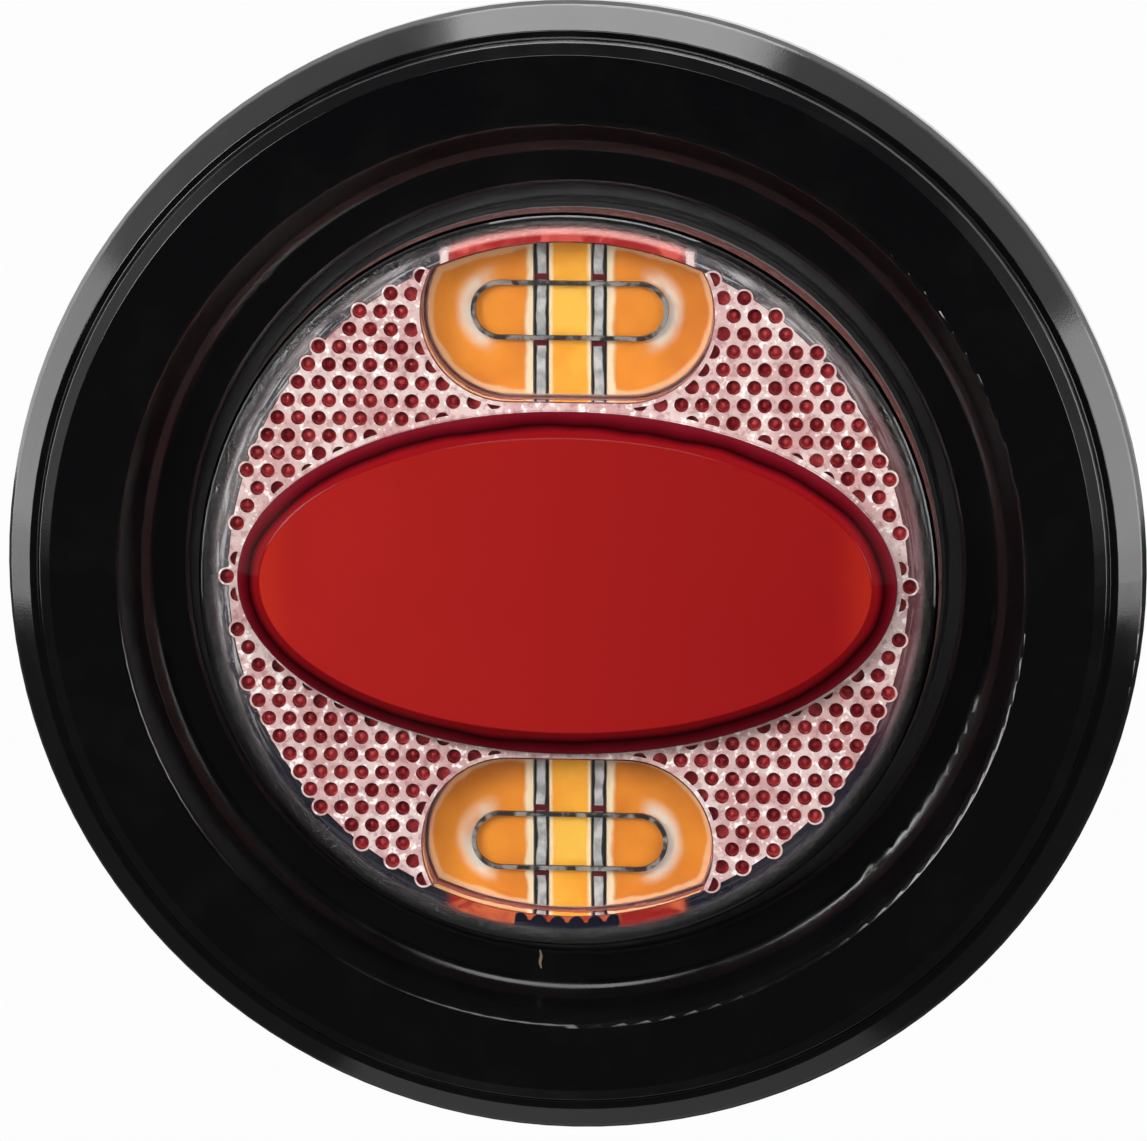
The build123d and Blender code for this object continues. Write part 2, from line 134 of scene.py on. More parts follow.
dust_specks, taken, given = new_effect("dust specks", {"Place": None, "Scale": 260.0, "Size": 0.03}, ["Mask"])
cells = add(dust_specks, "TexVoronoi", {"Vector": taken["Place"], "Scale": taken["Scale"]})
lucky = add(dust_specks, "SeparateColor", {"Color": cells.outputs["Color"]}).outputs["Red"]
speck = maths(dust_specks, "LESS_THAN", cells.outputs["Distance"], taken["Size"])
chosen = maths(dust_specks, "GREATER_THAN", lucky, 0.82)
dust_specks.links.new(maths(dust_specks, "MULTIPLY", speck, chosen), given["Mask"])

turning_marks, taken, given = new_effect("turning marks", {"Place": None, "Pitch": 0.35}, ["Height"])
flat_place = add(turning_marks, "VectorMath", {0: taken["Place"], 1: (1, 0, 1)}, operation="MULTIPLY")
radius = add(turning_marks, "VectorMath", {0: flat_place.outputs[0]}, operation="LENGTH").outputs["Value"]
turns = maths(turning_marks, "DIVIDE", maths(turning_marks, "MULTIPLY", radius, 1 / MM), taken["Pitch"])
wave = maths(turning_marks, "SINE", maths(turning_marks, "MULTIPLY", turns, 2 * math.pi))
turning_marks.links.new(wave, given["Height"])

RUBBER_BLACK = (0.0035, 0.0035, 0.0042)
RUBBER_BLOOM = (0.006, 0.006, 0.0066)
DUST_GREY = (0.33, 0.31, 0.29)
rubber, tree, shader = new_finish("black_rubber")
grain = place_effect(tree, moulded_grain, Fine=7000.0, Coarse=260.0)
dust = place_effect(tree, dust_specks, Scale=230.0, Size=0.028)["Mask"]
marks = place_effect(tree, turning_marks, Pitch=0.9)["Height"]
bloom = ramp(tree, grain["Blotches"], 0.45, 0.75, 0.0, 0.5)
skin = mix_colours(tree, bloom, RUBBER_BLACK, RUBBER_BLOOM)
tree.links.new(mix_colours(tree, dust, skin, DUST_GREY), shader.inputs["Base Color"])
tree.links.new(ramp(tree, grain["Blotches"], 0.3, 0.7, 0.11, 0.18), shader.inputs["Roughness"])
relief = maths(tree, "MULTIPLY_ADD", marks, 0.12)
tree.links.new(grain["Height"], relief.node.inputs[2])
bump = add(tree, "Bump", {"Strength": 0.12, "Distance": 0.03 * MM, "Height": relief})
tree.links.new(bump.outputs["Normal"], shader.inputs["Normal"])
shader.inputs["Specular IOR Level"].default_value = 0.5
wear(rubber, "grommet")


# Mould flash. A short sliver of rubber left standing where the mould was fed, at the bottom of the
# lip. It has gone pale with handling.

FLASH_LENGTH = 1.4
FLASH_WIDTH = 0.2
FLASH_RISE = 0.16
FLASH_PLACE = (-2.5, -1.84, -29.75)
FLASH_WAVER = 0.05
PALE_BROWN = (0.16, 0.12, 0.07)
PALE_TAN = (0.42, 0.33, 0.21)

bpy.ops.mesh.primitive_cube_add(size=1, location=[value * MM for value in FLASH_PLACE])
mould_flash = bpy.context.object
mould_flash.name = "mould_flash"
mould_flash.scale = (FLASH_WIDTH * MM, FLASH_RISE * MM, FLASH_LENGTH * MM)
bpy.ops.object.transform_apply(location=True, rotation=True, scale=True)
bpy.ops.object.mode_set(mode="EDIT")
bpy.ops.mesh.select_all(action="SELECT")
bpy.ops.mesh.subdivide(number_cuts=5)
bpy.ops.mesh.bevel(offset=0.01 * MM, segments=1, affect="EDGES")
bpy.ops.object.mode_set(mode="OBJECT")
middle = FLASH_PLACE[0] * MM
for vertex in mould_flash.data.vertices:
    along = (vertex.co.z - FLASH_PLACE[2] * MM) / (FLASH_LENGTH * MM)
    narrowing = 1.15 - 1.5 * abs(along)
    waver = FLASH_WAVER * MM * math.sin(9 * along)
    vertex.co.x = middle + (vertex.co.x - middle) * narrowing + waver
pale_rubber, tree, shader = new_finish("pale_rubber")
mottle = noise(tree, object_place(tree), 2400.0, 3.0)
tree.links.new(mix_colours(tree, mottle, PALE_BROWN, PALE_TAN), shader.inputs["Base Color"])
shader.inputs["Roughness"].default_value = 0.6
mould_flash.data.materials.append(pale_rubber)
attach(mould_flash, "grommet")


# Housing. Black moulded can behind the lens, with the flange that the rubber grips and the boss
# of the plug receptacle. Fine spark-eroded texture, with edges rubbed a little smoother.

HOUSING_DARK = (0.014, 0.014, 0.015)
HOUSING_RUBBED = (0.024, 0.024, 0.026)

housing_black, tree, shader = new_finish("black_plastic")
grain = place_effect(tree, moulded_grain, Fine=5200.0, Coarse=350.0)
dust = place_effect(tree, dust_specks, Scale=420.0, Size=0.03)["Mask"]
tone = mix_colours(tree, grain["Blotches"], HOUSING_DARK, HOUSING_RUBBED)
tree.links.new(mix_colours(tree, dust, tone, DUST_GREY), shader.inputs["Base Color"])
tree.links.new(ramp(tree, grain["Blotches"], 0.3, 0.7, 0.38, 0.52), shader.inputs["Roughness"])
bump = add(tree, "Bump", {"Strength": 0.5, "Distance": 0.05 * MM, "Height": grain["Height"]})
tree.links.new(bump.outputs["Normal"], shader.inputs["Normal"])
wear(housing_black, "housing")


# Outer lens. Injection-moulded clear polycarbonate cup, welded into the housing's flange. Its rim,
# outside the honeycomb, is finely frosted and scuffed, and its rounded edge is tinted grey as a
# painted reflection of the black rubber beside it.

FROST_START = 25.9
RUBBER_REFLECTION_START = 26.5
CLEAR = (0.985, 0.985, 0.985)
PAINTED_RUBBER_REFLECTION = (0.42, 0.37, 0.37)


def clear_plastic(name, ior):
    """Glass-like material that lets light through to what is behind it."""
    finish, tree, shader = new_finish(name)
    shader.inputs["Base Color"].default_value = (*CLEAR, 1)
    shader.inputs["Transmission Weight"].default_value = 1.0
    shader.inputs["IOR"].default_value = ior
    passing = add(tree, "BsdfTransparent", {"Color": (0.97, 0.97, 0.97, 1)}).outputs[0]
    shadow_ray = add(tree, "LightPath").outputs["Is Shadow Ray"]
    mixed = add(tree, "MixShader", {0: shadow_ray, 1: shader.outputs[0], 2: passing})
    tree.links.new(mixed.outputs[0], tree.nodes["Material Output"].inputs["Surface"])
    return finish, tree, shader


def radius_from_axis(tree):
    """Distance from the lamp's axis in millimetres."""
    across = add(tree, "VectorMath", {0: object_place(tree), 1: (1, 0, 1)}, operation="MULTIPLY")
    length = add(tree, "VectorMath", {0: across.outputs[0]}, operation="LENGTH").outputs["Value"]
    return maths(tree, "MULTIPLY", length, 1 / MM)


def facing_front(tree, low, high):
    """1 where a surface faces the front of the lamp, falling to 0 where it is turned away."""
    normal = add(tree, "SeparateXYZ", {0: add(tree, "NewGeometry").outputs["Normal"]})
    return ramp(tree, maths(tree, "MULTIPLY", normal.outputs["Y"], -1), low, high)


clear_lens, tree, shader = clear_plastic("clear_lens", 1.49)
radius = radius_from_axis(tree)
past_honeycomb = ramp(tree, radius, FROST_START, FROST_START + 0.4)
frost = maths(tree, "MULTIPLY", past_honeycomb, facing_front(tree, 0.8, 0.98))
speckle = noise(tree, object_place(tree), 7000.0, 3.0)
haze = maths(tree, "MULTIPLY", frost, ramp(tree, speckle, 0.42, 0.62))
tree.links.new(ramp(tree, haze, 0.0, 1.0, 0.012, 0.22), shader.inputs["Roughness"])
# The rounded edge is tinted grey as a painted reflection of the black rubber.
at_edge = ramp(tree, radius, RUBBER_REFLECTION_START, RUBBER_REFLECTION_START + 0.5)
painted_reflection = maths(tree, "MULTIPLY", at_edge, facing_front(tree, 0.05, 0.3))
tree.links.new(mix_colours(tree, painted_reflection, CLEAR, PAINTED_RUBBER_REFLECTION), shader.inputs["Base Color"])
swirl = noise(tree, object_place(tree), 300.0, 2.0)
relief = maths(tree, "MULTIPLY_ADD", haze, 1.0)
tree.links.new(maths(tree, "MULTIPLY", swirl, 0.25), relief.node.inputs[2])
bump = add(tree, "Bump", {"Strength": 0.5, "Distance": 0.06 * MM, "Height": relief})
tree.links.new(bump.outputs["Normal"], shader.inputs["Normal"])
wear(clear_lens, "outer_lens")


# Red centre lens. Raised oval cap of deep red polycarbonate with a bevelled side, over a white
# sheet that evens out its light. The bevel looks down into the side wall, so it is painted darker
# in bands of shade, with a near-black line. The flat face is painted lighter at the left than at
# the right, with a painted orange glow at both ends.

OVAL_HALF_WIDTH = 24.5
OVAL_HALF_HEIGHT = 12.8
CLEAR_FACE_HEIGHT = 7.8
RED_FACE_HEIGHT = 9.2
PAINTED_LIT_RED_LEFT = (0.56, 0.0220, 0.0190)
PAINTED_SHADED_RED_RIGHT = (0.43, 0.0125, 0.0140)
FACE_RED_CLOUD = (0.46, 0.0170, 0.0150)
PAINTED_GLOW_RED_ENDS = (0.78, 0.050, 0.016)
PAINTED_BEVEL_SHADE = (
    (0.00, (0.210, 0.0100, 0.0200)),
    (0.22, (0.150, 0.0030, 0.0100)),
    (0.45, (0.085, 0.0012, 0.0040)),
    (0.62, (0.018, 0.0003, 0.0010)),
    (0.78, (0.150, 0.0020, 0.0060)),
    (0.93, (0.300, 0.0060, 0.0090)),
)

red_lens, tree, shader = new_finish("red_lens")
place = object_place(tree)
axes = add(tree, "SeparateXYZ", {0: place})
wide = maths(tree, "DIVIDE", axes.outputs["X"], OVAL_HALF_WIDTH * MM)
front = maths(tree, "DIVIDE", axes.outputs["Y"], -MM)
flat_face = facing_front(tree, 0.95, 0.995)
wander = maths(tree, "SUBTRACT", noise(tree, place, 160.0, 2.0), 0.5)
wander = maths(tree, "MULTIPLY", wander, 0.5)
up_bevel = ramp(tree, maths(tree, "ADD", front, wander), CLEAR_FACE_HEIGHT, RED_FACE_HEIGHT)
# Bands of painted shade across the bevel, darkest at a near-black line.
painted_bevel_bands = add(tree, "ValToRGB", {"Fac": up_bevel})
for index, (stop, colour) in enumerate(PAINTED_BEVEL_SHADE):
    stops = painted_bevel_bands.color_ramp.elements
    element = stops[index] if index < 2 else stops.new(stop)
    element.position = stop
    element.color = (*colour, 1)
# Painted light: the face is lighter at the left than at the right.
across = ramp(tree, wide, -1.0, 1.0)
face_red_and_painted_light = mix_colours(tree, across, PAINTED_LIT_RED_LEFT, PAINTED_SHADED_RED_RIGHT)
clouds = ramp(tree, noise(tree, place, 90.0, 3.0), 0.35, 0.7, 0.0, 0.3)
face_red_and_painted_light = mix_colours(tree, clouds, face_red_and_painted_light, FACE_RED_CLOUD)
# Painted orange glow at both ends of the face.
painted_end_glow = ramp(tree, maths(tree, "ABSOLUTE", wide), 0.80, 0.93, 0.0, 0.4)
face_red_and_painted_light = mix_colours(tree, painted_end_glow, face_red_and_painted_light, PAINTED_GLOW_RED_ENDS)
tree.links.new(mix_colours(tree, flat_face, painted_bevel_bands.outputs["Color"], face_red_and_painted_light), shader.inputs["Base Color"])
shader.inputs["Roughness"].default_value = 0.1
shader.inputs["Specular IOR Level"].default_value = 0.12
fine_dust = place_effect(tree, dust_specks, Scale=300.0, Size=0.035)["Mask"]
relief = maths(tree, "MULTIPLY_ADD", fine_dust, 0.5)
tree.links.new(maths(tree, "MULTIPLY", noise(tree, place, 260.0, 2.0), 0.4), relief.node.inputs[2])
bump = add(tree, "Bump", {"Strength": 0.12, "Distance": 0.05 * MM, "Height": relief})
tree.links.new(bump.outputs["Normal"], shader.inputs["Normal"])
wear(red_lens, "red_lens")

milky_sheet, tree, shader = new_finish("white_diffuser")
mottle = noise(tree, object_place(tree), 800.0, 4.0)
tone = mix_colours(tree, mottle, (0.78, 0.75, 0.71), (0.88, 0.86, 0.83))
tree.links.new(tone, shader.inputs["Base Color"])
shader.inputs["Roughness"].default_value = 0.6
wear(milky_sheet, "centre_diffuser")


# Reflex honeycomb. Clear moulded sheet of round cells, which looks whitish pink because it scatters
# the light and the red behind it. Glints on its fine grain are painted on, with painted shade in the
# grain's hollows, and its cell walls are painted dark red as shade.

WEB_PINK = (0.60, 0.36, 0.35)
WEB_PALE = (0.78, 0.61, 0.585)
PAINTED_WEB_GLINT = (0.98, 0.90, 0.88)
PAINTED_WEB_SHADE = (0.34, 0.12, 0.13)
PAINTED_CELL_WALL_SHADE = (0.24, 0.030, 0.036)

honeycomb, tree, shader = new_finish("clear_lattice")
place = object_place(tree)
patchy = noise(tree, place, 260.0, 4.0, 0.6)
glints = noise(tree, place, 1900.0, 2.0)
web = mix_colours(tree, ramp(tree, patchy, 0.35, 0.65), WEB_PINK, WEB_PALE)
# Painted glints where the grain noise is high, painted shade in its hollows where it is low.
web = mix_colours(tree, ramp(tree, glints, 0.56, 0.70), web, PAINTED_WEB_GLINT)
web = mix_colours(tree, ramp(tree, glints, 0.44, 0.34, 0.0, 0.45), web, PAINTED_WEB_SHADE)
# Walls turned away from the front are painted dark red as shade.
web = mix_colours(tree, facing_front(tree, 0.3, 0.7), PAINTED_CELL_WALL_SHADE, web)
tree.links.new(web, shader.inputs["Base Color"])
tree.links.new(ramp(tree, glints, 0.3, 0.7, 0.1, 0.3), shader.inputs["Roughness"])
bump = add(tree, "Bump", {"Strength": 0.7, "Distance": 0.08 * MM, "Height": glints})
tree.links.new(bump.outputs["Normal"], shader.inputs["Normal"])
wear(honeycomb, "reflex_lattice")


# Reflex prisms. Each whole cell of the honeycomb has its own small six-sided prism of red plastic,
# moulded in one with the block behind it.

CELL_PITCH = 1.54
CELL_ROW = CELL_PITCH * math.sqrt(3) / 2
CELL_REACH = 25.46
CELL_CLEARANCE = 0.85
PRISM_RADIUS = 0.52
PRISM_TIP_RADIUS = 0.12
PRISM_BASE = 5.9
PRISM_RISE = 0.3
PILL_HALF_STRAIGHT = 4.3
PILL_RADIUS = 6.6
PILL_CENTRE = 20.0
REFLEX_DARK = (0.26, 0.012, 0.020)
REFLEX_BRIGHT = (0.58, 0.060, 0.064)
PAINTED_LIT_BLOCK_SIDE = (0.78, 0.30, 0.27)

reflex_red, tree, shader = new_finish("red_reflex")
shade = noise(tree, object_place(tree), 700.0, 3.0)
tone = mix_colours(tree, ramp(tree, shade, 0.35, 0.65), REFLEX_DARK, REFLEX_BRIGHT)
tree.links.new(tone, shader.inputs["Base Color"])
tree.links.new(ramp(tree, shade, 0.3, 0.7, 0.08, 0.25), shader.inputs["Roughness"])
block_red, tree, shader = new_finish("red_reflex_block")
shade = noise(tree, object_place(tree), 700.0, 3.0)
tone = mix_colours(tree, ramp(tree, shade, 0.35, 0.65), REFLEX_DARK, REFLEX_BRIGHT)
# Sides turned away from the front are painted pale pink as painted light.
tone = mix_colours(tree, facing_front(tree, 0.3, 0.7), PAINTED_LIT_BLOCK_SIDE, tone)
tree.links.new(tone, shader.inputs["Base Color"])
tree.links.new(ramp(tree, shade, 0.3, 0.7, 0.15, 0.3), shader.inputs["Roughness"])
wear(block_red, "reflex_block")

bpy.ops.mesh.primitive_cone_add(
    vertices=6, radius1=PRISM_RADIUS * MM, radius2=PRISM_TIP_RADIUS * MM, depth=PRISM_RISE * MM,
    location=(0, -(PRISM_BASE + PRISM_RISE / 2) * MM, 0), rotation=(math.pi / 2, 0, 0),
)
prism = bpy.context.object
bpy.ops.object.transform_apply(location=True, rotation=True, scale=True)
bpy.ops.object.mode_set(mode="EDIT")
bpy.ops.mesh.select_all(action="SELECT")
bpy.ops.mesh.bevel(offset=0.03 * MM, segments=1, affect="EDGES")
bpy.ops.object.mode_set(mode="OBJECT")


def open_cell(x, z):
    """Whether a whole cell of the honeycomb is at this place."""
    if math.hypot(x, z) > CELL_REACH:
        return False
    half_width = OVAL_HALF_WIDTH + CELL_CLEARANCE
    half_height = OVAL_HALF_HEIGHT + CELL_CLEARANCE
    if math.hypot(x / half_width, z / half_height) < 1:
        return False
    past_straight = max(abs(x) - PILL_HALF_STRAIGHT, 0)
    return math.hypot(past_straight, abs(z) - PILL_CENTRE) > PILL_RADIUS + CELL_CLEARANCE


prisms = []
rows = math.ceil(CELL_REACH / CELL_ROW)
columns = math.ceil(CELL_REACH / CELL_PITCH) + 1
for row in range(-rows, rows + 1):
    for column in range(-columns, columns + 1):
        x = (column + (row + 1) % 2 / 2) * CELL_PITCH
        z = row * CELL_ROW
        if open_cell(x, z):
            copy = prism.copy()
            copy.data = prism.data.copy()
            copy.data.transform(Matrix.Translation((x * MM, 0, z * MM)))
            bpy.context.scene.collection.objects.link(copy)
            prisms.append(copy)
bpy.data.objects.remove(prism)
bpy.ops.object.select_all(action="DESELECT")
for copy in prisms:
    copy.select_set(True)
bpy.context.view_layer.objects.active = prisms[0]
bpy.ops.object.join()
reflex_prisms = bpy.context.object
reflex_prisms.name = "reflex_prisms"
reflex_prisms.data.materials.clear()
reflex_prisms.data.materials.append(reflex_red)
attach(reflex_prisms, "lamp")


# Trim ring. Smoke-coloured filler between the honeycomb's bulging rim and the lens wall, nearly black
# in its lower half, with painted glints and painted streaks of highlight. It is red past the upper
# window, with a painted highlight along its outer edge and painted glints at the band's ends, and
# orange under the lower window, where it has a dark bar with a row of round bumps.

BAND_HALF_WIDTH = 8.8
WINDOW_BAND_START = 0.022
SCALLOP_PITCH = 1.42
SCALLOP_RADIUS = 0.66
SCALLOP_LINE = 25.95
SCALLOP_REACH = 3.9

SMOKE_DARK = (0.040, 0.038, 0.045)
SMOKE_PALE = (0.15, 0.135, 0.135)
PAINTED_TRIM_GLINT = (0.40, 0.36, 0.36)
PAINTED_TRIM_STREAK = (0.46, 0.44, 0.45)
SMOKE_RED_SIDE = (0.11, 0.010, 0.016)
SMOKE_BLACK = (0.007, 0.007, 0.016)
PAINTED_BAND_END_GLINT = (0.80, 0.62, 0.60)
SCALLOP_NAVY = (0.004, 0.005, 0.016)

smoke, tree, shader = new_finish("smoke_trim")
place = object_place(tree)
axes = add(tree, "SeparateXYZ", {0: place})
sparkle = noise(tree, place, 6500.0, 2.0)
patches = noise(tree, place, 260.0, 3.0)
radius = radius_from_axis(tree)
tone = mix_colours(tree, ramp(tree, patches, 0.4, 0.62), SMOKE_DARK, SMOKE_PALE)
# Painted glints on the grain.
tone = mix_colours(tree, ramp(tree, sparkle, 0.58, 0.72, 0.0, 0.7), tone, PAINTED_TRIM_GLINT)
turn = maths(tree, "ARCTAN2", axes.outputs["X"], maths(tree, "MULTIPLY", axes.outputs["Z"], -1))
polar = add(tree, "CombineXYZ", {0: radius, 1: maths(tree, "MULTIPLY", turn, 1.4)}).outputs[0]
# Curved streaks of painted highlight.
streaks = ramp(tree, noise(tree, polar, 4.5, 3.0), 0.5, 0.62, 0.0, 0.8)
tone = mix_colours(tree, streaks, tone, PAINTED_TRIM_STREAK)
tone = mix_colours(tree, ramp(tree, axes.outputs["X"], 0.018, 0.024, 0.0, 0.7), tone, SMOKE_RED_SIDE)
lower_half = ramp(tree, axes.outputs["Z"], -0.006, -0.015, 0.0, 0.92)
tone = mix_colours(tree, lower_half, tone, SMOKE_BLACK)
sideways = maths(tree, "MULTIPLY", maths(tree, "ABSOLUTE", axes.outputs["X"]), 1 / MM)
by_pill = ramp(tree, sideways, BAND_HALF_WIDTH + 0.5, BAND_HALF_WIDTH - 0.5)
streaky = ramp(tree, noise(tree, place, 420.0, 3.0, 0.8), 0.4, 0.62)
red = mix_colours(tree, streaky, (0.36, 0.018, 0.018), (0.66, 0.10, 0.08))
# A painted pale pink highlight along the outer edge of the red band.
red_band_and_painted_highlight = mix_colours(tree, ramp(tree, radius, 25.8, 26.1, 0.0, 0.75), red, (0.85, 0.42, 0.38))
over_top = ramp(tree, axes.outputs["Z"], WINDOW_BAND_START, WINDOW_BAND_START + 0.0005)
tone = mix_colours(tree, maths(tree, "MULTIPLY", by_pill, over_top), tone, red_band_and_painted_highlight)
# Painted whitish glints at both ends of the red band.
from_end = maths(tree, "SUBTRACT", sideways, BAND_HALF_WIDTH + 0.3)
painted_glint_at_end = ramp(tree, maths(tree, "ABSOLUTE", from_end), 0.4, 0.2)
tone = mix_colours(tree, maths(tree, "MULTIPLY", painted_glint_at_end, over_top), tone, PAINTED_BAND_END_GLINT)
ember = mix_colours(tree, streaky, (0.30, 0.015, 0.012), (0.62, 0.13, 0.05))
under_bottom = ramp(tree, axes.outputs["Z"], -WINDOW_BAND_START, -WINDOW_BAND_START - 0.0005)
tone = mix_colours(tree, maths(tree, "MULTIPLY", by_pill, under_bottom), tone, ember)
round_rim = maths(tree, "MULTIPLY", turn, SCALLOP_LINE)
pitches = maths(tree, "FRACT", maths(tree, "DIVIDE", round_rim, SCALLOP_PITCH))
along = maths(tree, "MULTIPLY", maths(tree, "SUBTRACT", pitches, 0.5), SCALLOP_PITCH)
out = maths(tree, "SUBTRACT", radius, SCALLOP_LINE)
from_bump = hypotenuse(tree, along, out)
bar = ramp(tree, out, -0.2, -0.1)
bumps = maths(tree, "MAXIMUM", ramp(tree, from_bump, SCALLOP_RADIUS, SCALLOP_RADIUS - 0.1), bar)
bumps = maths(tree, "MULTIPLY", bumps, under_bottom)
from_bottom = maths(tree, "ABSOLUTE", round_rim)
bumps = maths(tree, "MULTIPLY", bumps, ramp(tree, from_bottom, SCALLOP_REACH + 0.1, SCALLOP_REACH))
tone = mix_colours(tree, bumps, tone, SCALLOP_NAVY)
tree.links.new(tone, shader.inputs["Base Color"])
shader.inputs["Roughness"].default_value = 0.22
bump = add(tree, "Bump", {"Strength": 0.8, "Distance": 0.05 * MM, "Height": sparkle})
tree.links.new(bump.outputs["Normal"], shader.inputs["Normal"])
wear(smoke, "trim_ring")


# Pill windows. Thick clear optics over amber pads, a bright yellow strip, two tinned bars and a
# thin stadium-shaped ring. The pads have a painted cream glow along their edges, where the optic
# gathers light, and painted white highlights by the ring's ends. The yellow strip is painted
# brighter in its middle and cream by the bars, and the bars and the ring are painted near black at
# their edges as shade.

PILL_LIMIT = 25.35
PAD_INNER = 2.75
RING_END_CENTRE = 5.15
RING_LINE_HEIGHT = 2.04
BAR_CENTRE = 2.15

clear_optic, tree, shader = clear_plastic("clear_optic", 1.46)
shader.inputs["Roughness"].default_value = 0.02
ripple = noise(tree, object_place(tree), 260.0, 2.0)
bump = add(tree, "Bump", {"Strength": 0.5, "Distance": 0.12 * MM, "Height": ripple})
tree.links.new(bump.outputs["Normal"], shader.inputs["Normal"])
wear(clear_optic, "upper_optic", "lower_optic")

pill_edge, taken, given = new_effect(
    "pill edge", {"Place": None, "Waviness": 0.5}, ["Inside", "Across", "Up"]
)
axes = add(pill_edge, "SeparateXYZ", {0: taken["Place"]})
across = maths(pill_edge, "MULTIPLY", maths(pill_edge, "ABSOLUTE", axes.outputs["X"]), 1 / MM)
height = maths(pill_edge, "MULTIPLY", maths(pill_edge, "ABSOLUTE", axes.outputs["Z"]), 1 / MM)
up = maths(pill_edge, "SUBTRACT", height, PILL_CENTRE)
beyond = maths(pill_edge, "MAXIMUM", maths(pill_edge, "SUBTRACT", across, PILL_HALF_STRAIGHT), 0)
from_side = maths(pill_edge, "SUBTRACT", PILL_RADIUS, hypotenuse(pill_edge, beyond, up))
from_rim = maths(pill_edge, "SUBTRACT", PILL_LIMIT, hypotenuse(pill_edge, across, height))
inside = maths(pill_edge, "MINIMUM", from_side, from_rim)
wobble = add(pill_edge, "TexNoise", {"Vector": taken["Place"], "Scale": 420.0, "Detail": 2.0}).outputs["Fac"]
wave = maths(pill_edge, "MULTIPLY", maths(pill_edge, "SUBTRACT", wobble, 0.5), taken["Waviness"])
pill_edge.links.new(maths(pill_edge, "ADD", inside, wave), given["Inside"])
pill_edge.links.new(maths(pill_edge, "ADD", across, wave), given["Across"])
pill_edge.links.new(up, given["Up"])

AMBER = (0.97, 0.320, 0.014)
DEEP_AMBER = (0.78, 0.225, 0.008)
PAINTED_CREAM_GLOW = (1.0, 0.80, 0.52)
PAINTED_PEACH_GLOW = (1.0, 0.62, 0.33)
PAINTED_CRESCENT_HIGHLIGHT = (1.0, 0.93, 0.80)
DEEP_YELLOW = (0.92, 0.36, 0.018)
YELLOW = (1.0, 0.47, 0.035)
PAINTED_LIT_YELLOW = (1.0, 0.60, 0.075)
amber, tree, shader = new_finish("amber_phosphor")
edge = place_effect(tree, pill_edge, Waviness=0.8)
place = object_place(tree)
cloud = noise(tree, place, 160.0, 3.0)
tone = mix_colours(tree, ramp(tree, cloud, 0.35, 0.7), DEEP_AMBER, AMBER)
# A painted cream glow along the pads' edges and by the bars.
tone = mix_colours(tree, ramp(tree, edge["Inside"], 0.8, 0.5, 0.0, 0.8), tone, PAINTED_PEACH_GLOW)
painted_glow_by_bar = ramp(tree, edge["Across"], PAD_INNER + 0.75, PAD_INNER + 0.35)
tone = mix_colours(tree, painted_glow_by_bar, tone, PAINTED_CREAM_GLOW)
# A painted white highlight by each end of the ring.
from_ring_end = maths(tree, "SUBTRACT", edge["Across"], RING_END_CENTRE)
round_end = hypotenuse(tree, from_ring_end, edge["Up"])
painted_crescent = maths(tree, "MULTIPLY", ramp(tree, round_end, 3.7, 2.4), ramp(tree, round_end, 1.9, 2.3))
painted_crescent = maths(tree, "MULTIPLY", painted_crescent, ramp(tree, from_ring_end, -0.2, 1.8))
uneven = ramp(tree, noise(tree, place, 420.0, 3.0), 0.25, 0.6, 0.35, 1.0)
tone = mix_colours(tree, maths(tree, "MULTIPLY", painted_crescent, uneven), tone, PAINTED_CRESCENT_HIGHLIGHT)
tree.links.new(tone, shader.inputs["Base Color"])
shader.inputs["Roughness"].default_value = 0.5
bump = add(tree, "Bump", {"Strength": 0.4, "Distance": 0.1 * MM, "Height": noise(tree, place, 500.0, 3.0)})
tree.links.new(bump.outputs["Normal"], shader.inputs["Normal"])
wear(amber, "upper_side_phosphors", "lower_side_phosphors")

yellow, tree, shader = new_finish("yellow_phosphor")
edge = place_effect(tree, pill_edge, Waviness=0.4)
place = object_place(tree)
cloud = noise(tree, place, 300.0, 3.0)
tone = mix_colours(tree, ramp(tree, cloud, 0.35, 0.7), DEEP_YELLOW, YELLOW)
# The strip is painted brighter in its middle and cream by the bars.
middle = ramp(tree, maths(tree, "ABSOLUTE", edge["Up"]), 2.2, 1.2)
tone = mix_colours(tree, maths(tree, "MULTIPLY", middle, 0.7), tone, PAINTED_LIT_YELLOW)
tone = mix_colours(tree, ramp(tree, edge["Across"], 1.2, 1.45, 0.0, 0.85), tone, PAINTED_CREAM_GLOW)
tree.links.new(tone, shader.inputs["Base Color"])
# The faint emission is a painted glow.
tree.links.new(tone, shader.inputs["Emission Color"])
shader.inputs["Emission Strength"].default_value = 0.08
shader.inputs["Roughness"].default_value = 0.5
bump = add(tree, "Bump", {"Strength": 0.3, "Distance": 0.1 * MM, "Height": noise(tree, place, 600.0, 3.0)})
tree.links.new(bump.outputs["Normal"], shader.inputs["Normal"])
wear(yellow, "upper_centre_phosphor", "lower_centre_phosphor")

tinned, tree, shader = new_finish("silver_metal")
edge = place_effect(tree, pill_edge, Waviness=0.45)
place = object_place(tree)
from_middle = maths(tree, "ABSOLUTE", maths(tree, "SUBTRACT", edge["Across"], BAR_CENTRE))
tinning = noise(tree, place, 900.0, 3.0)
tone = mix_colours(tree, ramp(tree, tinning, 0.35, 0.65), (0.36, 0.37, 0.37), (0.72, 0.72, 0.70))
